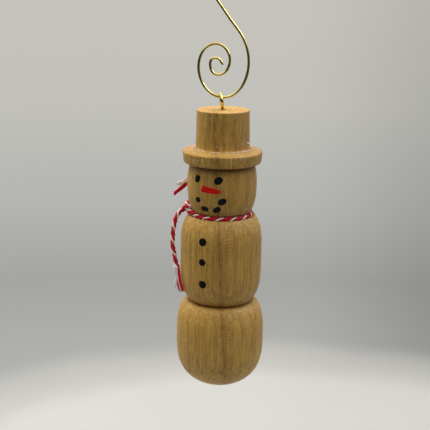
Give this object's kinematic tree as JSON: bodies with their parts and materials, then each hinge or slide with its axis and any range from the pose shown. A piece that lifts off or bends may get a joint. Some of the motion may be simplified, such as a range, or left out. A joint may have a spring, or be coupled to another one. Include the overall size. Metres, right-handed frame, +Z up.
{
  "type": "hanging snowman ornament",
  "caption": "Turned wooden snowman with a hat, painted face and buttons, a twine scarf, and a brass screw eye that hangs on a swirl hook.",
  "frame": {"origin": "centre of the base's flat foot, on the turning axis", "axes": "+Z up along the turning axis, the face looks along -Y"},
  "size_m": [0.0381, 0.035, 0.1709],
  "materials": {
    "hardwood": "satin clear lacquer on a light brown hardwood",
    "brass": "bright gold-coloured wire",
    "twine": "three-ply cotton twine, two red plies and one white",
    "black_paint": "hand-dabbed black craft paint",
    "red_paint": "hand-painted red craft paint"
  },
  "bodies": {
    "hook": {"hook": "brass"},
    "screw_eye": {"screw_eye": "brass"},
    "figure": {"turned_figure": "hardwood", "eye_left": "black_paint", "eye_right": "black_paint", "nose": "red_paint", "mouth_dot_1": "black_paint", "mouth_dot_2": "black_paint", "mouth_dot_3": "black_paint", "mouth_dot_4": "black_paint", "button_1": "black_paint", "button_2": "black_paint", "button_3": "black_paint"},
    "scarf": {"scarf_loop": "twine", "scarf_knot": "twine", "scarf_long_tail": "twine", "scarf_short_tail": "twine"}
  },
  "joints": [
    {"name": "hook_swing", "type": "hinge", "parent": "hook", "child": "screw_eye", "pos_m": [0, 0, 0.1146], "axis": [0.9063, 0.4226, 0], "range_deg": [-90, 90]},
    {"name": "eye_turn", "type": "hinge", "parent": "screw_eye", "child": "figure", "pos_m": [0, 0, 0.11], "axis": [0, 0, 1], "range_deg": [-180, 180]},
    {"name": "scarf_turn", "type": "hinge", "parent": "figure", "child": "scarf", "pos_m": [0, 0, 0.0696], "axis": [0, 0, 1], "continuous": true}
  ]
}
